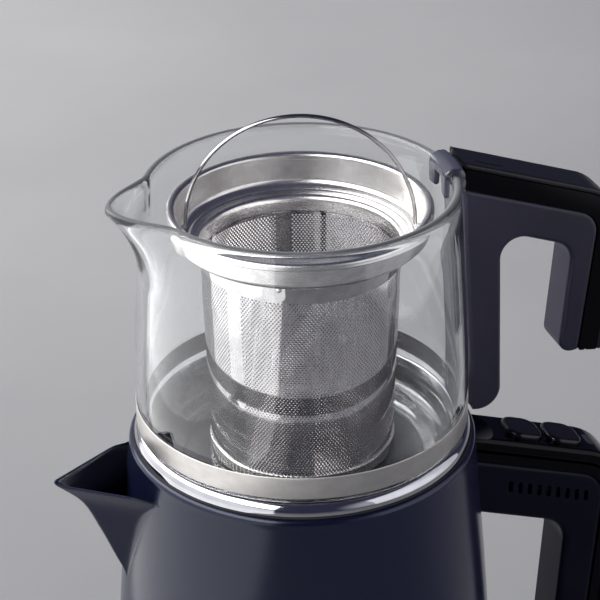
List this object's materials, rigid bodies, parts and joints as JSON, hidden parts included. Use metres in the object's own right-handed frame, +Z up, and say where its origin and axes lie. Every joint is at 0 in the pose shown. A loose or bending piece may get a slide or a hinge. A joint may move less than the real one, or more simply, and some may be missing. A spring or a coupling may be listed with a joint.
{
  "type": "electric tea maker",
  "caption": "Electric tea maker: painted kettle on a round power base, with a glass tea pot nested in its collar and a perforated steel infuser with a bail.",
  "frame": {"origin": "on the table, on the kettle's axis, under the middle of the power base", "axes": "+Z up, +X towards the two handles, -X towards the two pouring lips"},
  "size_m": [0.2345, 0.169, 0.3192],
  "materials": {
    "body_paint": "gloss, dark blue grey",
    "base_plastic": "satin, black",
    "socket_plastic": "moulded, black",
    "rubber": "moulded",
    "screw_steel": "plain",
    "contact_brass": "bright",
    "plate_steel": "rolled",
    "element_aluminium": "as extruded",
    "collar_chrome": "polished",
    "gloss_black": "high gloss, black",
    "kettle_handle": "satin, near black",
    "pot_handle": "satin, dark violet grey",
    "pot_handle_top": "satin, dark grey",
    "clip_plastic": "satin, grey lilac",
    "button": "satin gloss, dark",
    "silicone": "moulded",
    "circuit_board": "green lacquer",
    "lens": "frosted",
    "speaker": "plain",
    "glass": "clear",
    "band_steel": "brushed around the ring",
    "infuser_steel": "polished and perforated",
    "wire_steel": "bright drawn"
  },
  "bodies": {
    "base": {"base_housing": "base_plastic", "base_bottom_plate": "base_plastic", "base_feet": "rubber", "base_screws": "screw_steel", "base_connector_post": "base_plastic", "base_contacts": "contact_brass", "base_cable_gland": "rubber"},
    "socket": {"kettle_socket": "socket_plastic"},
    "kettle": {"kettle_shell": "body_paint", "kettle_collar": "collar_chrome", "collar_seal": "rubber", "collar_clamp_ring": "plate_steel", "kettle_floor": "plate_steel", "heating_element": "element_aluminium", "thermal_controller": "socket_plastic", "water_sensor": "plate_steel", "kettle_skirt": "base_plastic", "skirt_posts": "base_plastic", "skirt_screws": "screw_steel", "kettle_handle_cover": "gloss_black", "kettle_handle_trim": "gloss_black", "kettle_handle_body": "kettle_handle", "kettle_handle_bracket": "plate_steel", "kettle_handle_screw": "screw_steel", "switch_board": "circuit_board", "indicator_lens": "lens", "loudspeaker": "speaker", "boil_button_dome": "silicone", "tea_button_dome": "silicone"},
    "boil_button": {"boil_button": "button"},
    "tea_button": {"tea_button": "button"},
    "teapot": {"pot_glass": "glass", "pot_band": "band_steel", "band_bracket": "plate_steel", "band_screw": "screw_steel", "rim_clip": "clip_plastic", "pot_handle_body": "pot_handle", "pot_handle_gasket": "gloss_black", "pot_handle_trim": "gloss_black", "pot_handle_cover": "pot_handle_top", "pot_handle_screws": "screw_steel"},
    "infuser": {"infuser_cup": "infuser_steel", "infuser_basket": "infuser_steel", "infuser_bottom": "infuser_steel"},
    "bail": {"infuser_bail": "wire_steel"}
  },
  "joints": [
    {"name": "kettle_lift", "type": "slide", "parent": "base", "child": "socket", "axis": [0, 0, 1], "range_m": [0, 0.12]},
    {"name": "kettle_swivel", "type": "hinge", "parent": "socket", "child": "kettle", "pos_m": [0, 0, 0], "axis": [0, 0, 1], "continuous": true},
    {"name": "boil_press", "type": "slide", "parent": "kettle", "child": "boil_button", "axis": [-0.3048, 0, -0.9524], "range_m": [0, 0.001], "stiffness_N_per_m": 300, "springref_m": -0.0015, "deforming": ["boil_button_dome"]},
    {"name": "tea_press", "type": "slide", "parent": "kettle", "child": "tea_button", "axis": [-0.3048, 0, -0.9524], "range_m": [0, 0.001], "stiffness_N_per_m": 300, "springref_m": -0.0015, "deforming": ["tea_button_dome"]},
    {"name": "teapot_lift", "type": "slide", "parent": "kettle", "child": "teapot", "axis": [0, 0, 1], "range_m": [0, 0.12]},
    {"name": "infuser_lift", "type": "slide", "parent": "teapot", "child": "infuser", "axis": [0, 0, 1], "range_m": [0, 0.14]},
    {"name": "bail_swing", "type": "hinge", "parent": "infuser", "child": "bail", "pos_m": [0, 0, 0.2744], "axis": [0.9588, -0.284, 0], "range_deg": [-74, 74]}
  ]
}
